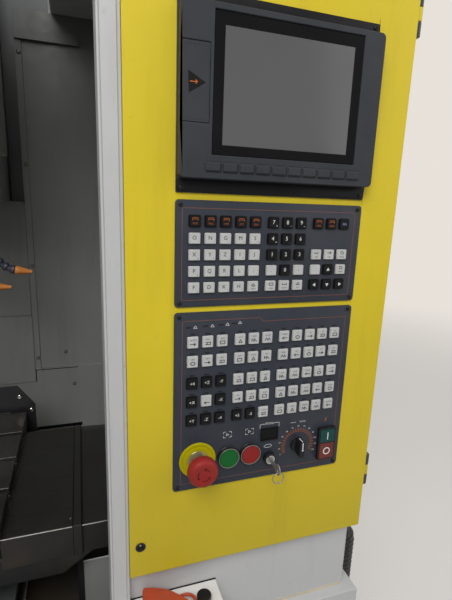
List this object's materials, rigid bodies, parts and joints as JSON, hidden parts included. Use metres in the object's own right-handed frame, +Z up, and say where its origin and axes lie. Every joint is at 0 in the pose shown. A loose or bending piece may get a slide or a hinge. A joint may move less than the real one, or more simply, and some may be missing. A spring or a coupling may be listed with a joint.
{
  "type": "cnc milling machine",
  "caption": "Small vertical machining centre with a telescopic sliding door, yellow hinged control door, cross table, covers and spindle head.",
  "frame": {"origin": "centre of the bounding box at floor level", "axes": "+X to the operator's right, +Y from the operator into the machine, +Z up"},
  "size_m": [1.759, 1.918, 2.377],
  "materials": {
    "white_paint": "satin powder coat",
    "yellow_paint": "satin powder coat",
    "grey_paint": "semi-matt machine paint",
    "cast_iron": "painted and scraped casting",
    "ground_steel": "ground",
    "cover_steel": "dark oiled sheet",
    "black_sheet": "matt black",
    "dark_plastic": "fine texture",
    "panel_grey": "light grey sheet and keys",
    "bezel_grey": "dark grey moulding",
    "screen_black": "dark display window",
    "window_clear": "clear laminated",
    "red_plastic": "moulded",
    "green_plastic": "moulded",
    "yellow_plastic": "moulded",
    "orange_plastic": "moulded",
    "hose_plastic": "jointed hose",
    "conduit_black": "corrugated",
    "bright_steel": "plated",
    "motor_black": "semi-matt"
  },
  "bodies": {
    "machine": {"base_casting": "cast_iron", "base_skirt": "white_paint", "levelling_feet": "bright_steel", "column": "cast_iron", "left_panel": "white_paint", "right_panel": "white_paint", "roof_panel": "white_paint", "operator_box": "white_paint", "door_pillar": "white_paint", "back_wall": "white_paint", "electrical_cabinet": "white_paint", "coolant_tank": "grey_paint", "cable_conduit": "conduit_black", "front_tray": "white_paint", "air_gun": "orange_plastic", "door_hinges": "black_sheet", "y_motor": "motor_black", "z_motor": "motor_black"},
    "front_leaf": {"front_door_leaf": "white_paint", "front_door_window": "window_clear"},
    "rear_leaf": {"rear_door_leaf": "white_paint"},
    "cabinet_door": {"cabinet_door": "white_paint"},
    "control_door": {"control_door": "yellow_paint", "screen_frame": "bezel_grey", "screen_glass": "screen_black", "mdi_keyboard": "panel_grey", "operator_keyboard": "panel_grey", "tool_display": "screen_black", "panel_screws": "bright_steel", "estop_base": "yellow_plastic", "key_switch": "bright_steel", "power_block": "dark_plastic"},
    "usb_door": {"usb_door": "bezel_grey"},
    "estop_button": {"estop_button": "red_plastic"},
    "start_button": {"start_button": "green_plastic"},
    "stop_button": {"stop_button": "red_plastic"},
    "key": {"key": "bright_steel"},
    "feed_knob": {"feed_knob": "dark_plastic"},
    "power_on_key": {"power_on_key": "green_plastic"},
    "power_off_key": {"power_off_key": "red_plastic"},
    "saddle": {"saddle": "cast_iron", "right_cover_4": "cover_steel", "left_cover_4": "cover_steel", "x_motor": "motor_black"},
    "table": {"table": "ground_steel", "rear_guard": "black_sheet", "right_cover_1": "cover_steel", "left_cover_1": "cover_steel"},
    "right_cover_2": {"right_cover_2": "cover_steel"},
    "right_cover_3": {"right_cover_3": "cover_steel"},
    "left_cover_2": {"left_cover_2": "cover_steel"},
    "left_cover_3": {"left_cover_3": "cover_steel"},
    "head": {"spindle_head": "grey_paint", "spindle_motor": "motor_black", "coolant_nozzles": "hose_plastic", "z_cover": "white_paint"},
    "spindle": {"spindle": "ground_steel"},
    "x_screw": {"x_screw": "ground_steel"},
    "y_screw": {"y_screw": "ground_steel"},
    "z_screw": {"z_screw": "ground_steel"}
  },
  "joints": [
    {"name": "saddle_slide", "type": "slide", "parent": "machine", "child": "saddle", "axis": [0, 1, 0], "range_m": [-0.08, 0.23]},
    {"name": "table_slide", "type": "slide", "parent": "saddle", "child": "table", "axis": [1, 0, 0], "range_m": [0, 0.405]},
    {"name": "right_cover_2_slide", "type": "slide", "parent": "saddle", "child": "right_cover_2", "axis": [1, 0, 0], "range_m": [0, 0.2701]},
    {"name": "right_cover_3_slide", "type": "slide", "parent": "saddle", "child": "right_cover_3", "axis": [1, 0, 0], "range_m": [0, 0.1351]},
    {"name": "left_cover_2_slide", "type": "slide", "parent": "saddle", "child": "left_cover_2", "axis": [1, 0, 0], "range_m": [0, 0.2701]},
    {"name": "left_cover_3_slide", "type": "slide", "parent": "saddle", "child": "left_cover_3", "axis": [1, 0, 0], "range_m": [0, 0.1351]},
    {"name": "head_slide", "type": "slide", "parent": "machine", "child": "head", "axis": [0, 0, 1], "range_m": [-0.38, 0]},
    {"name": "spindle_turn", "type": "hinge", "parent": "head", "child": "spindle", "pos_m": [-0.0225, -0.356, 1.4], "axis": [0, 0, 1], "continuous": true},
    {"name": "x_screw_turn", "type": "hinge", "parent": "saddle", "child": "x_screw", "pos_m": [-0.0225, -0.436, 0.766], "axis": [1, 0, 0], "range_deg": [-1, 14600]},
    {"name": "y_screw_turn", "type": "hinge", "parent": "machine", "child": "y_screw", "pos_m": [-0.0225, -0.341, 0.612], "axis": [0, 1, 0], "range_deg": [-2900, 8300]},
    {"name": "z_screw_turn", "type": "hinge", "parent": "machine", "child": "z_screw", "pos_m": [-0.0225, 0.144, 1.5], "axis": [0, 0, 1], "range_deg": [-13700, 1]},
    {"name": "front_leaf_slide", "type": "slide", "parent": "machine", "child": "front_leaf", "axis": [1, 0, 0], "range_m": [0, 0.75]},
    {"name": "rear_leaf_slide", "type": "slide", "parent": "machine", "child": "rear_leaf", "axis": [1, 0, 0], "range_m": [0, 0.3751]},
    {"name": "control_door_hinge", "type": "hinge", "parent": "machine", "child": "control_door", "pos_m": [0.8295, -0.828, 1.4], "axis": [0, 0, 1], "range_deg": [0, 110]},
    {"name": "cabinet_door_hinge", "type": "hinge", "parent": "machine", "child": "cabinet_door", "pos_m": [0.7855, 0.945, 1.3], "axis": [0, 0, -1], "range_deg": [0, 110]},
    {"name": "usb_door_hinge", "type": "hinge", "parent": "control_door", "child": "usb_door", "pos_m": [0.4208, -0.8605, 1.663], "axis": [0, 0, -1], "range_deg": [0, 100]},
    {"name": "estop_press", "type": "slide", "parent": "control_door", "child": "estop_button", "axis": [0, 1, 0], "range_m": [0, 0.005], "stiffness_N_per_m": 2500},
    {"name": "start_press", "type": "slide", "parent": "control_door", "child": "start_button", "axis": [0, 1, 0], "range_m": [0, 0.004], "stiffness_N_per_m": 1200},
    {"name": "stop_press", "type": "slide", "parent": "control_door", "child": "stop_button", "axis": [0, 1, 0], "range_m": [0, 0.004], "stiffness_N_per_m": 1200},
    {"name": "power_on_press", "type": "slide", "parent": "control_door", "child": "power_on_key", "axis": [0, 1, 0], "range_m": [0, 0.003], "stiffness_N_per_m": 1200},
    {"name": "power_off_press", "type": "slide", "parent": "control_door", "child": "power_off_key", "axis": [0, 1, 0], "range_m": [0, 0.003], "stiffness_N_per_m": 1200},
    {"name": "key_turn", "type": "hinge", "parent": "control_door", "child": "key", "pos_m": [0.5967, -0.861, 1.0395], "axis": [0, 1, 0], "range_deg": [0, 90]},
    {"name": "feed_knob_turn", "type": "hinge", "parent": "control_door", "child": "feed_knob", "pos_m": [0.6552, -0.851, 1.0565], "axis": [0, 1, 0], "range_deg": [-135, 135]}
  ],
  "couplings": [
    {"joint": "right_cover_2_slide", "follows": "table_slide", "ratio": 0.66667},
    {"joint": "right_cover_3_slide", "follows": "table_slide", "ratio": 0.33333},
    {"joint": "left_cover_2_slide", "follows": "table_slide", "ratio": 0.66667},
    {"joint": "left_cover_3_slide", "follows": "table_slide", "ratio": 0.33333},
    {"joint": "rear_leaf_slide", "follows": "front_leaf_slide", "ratio": 0.5},
    {"joint": "x_screw_turn", "follows": "table_slide", "rad_per_m": 628.32},
    {"joint": "y_screw_turn", "follows": "saddle_slide", "rad_per_m": 628.32},
    {"joint": "z_screw_turn", "follows": "head_slide", "rad_per_m": 628.32}
  ]
}
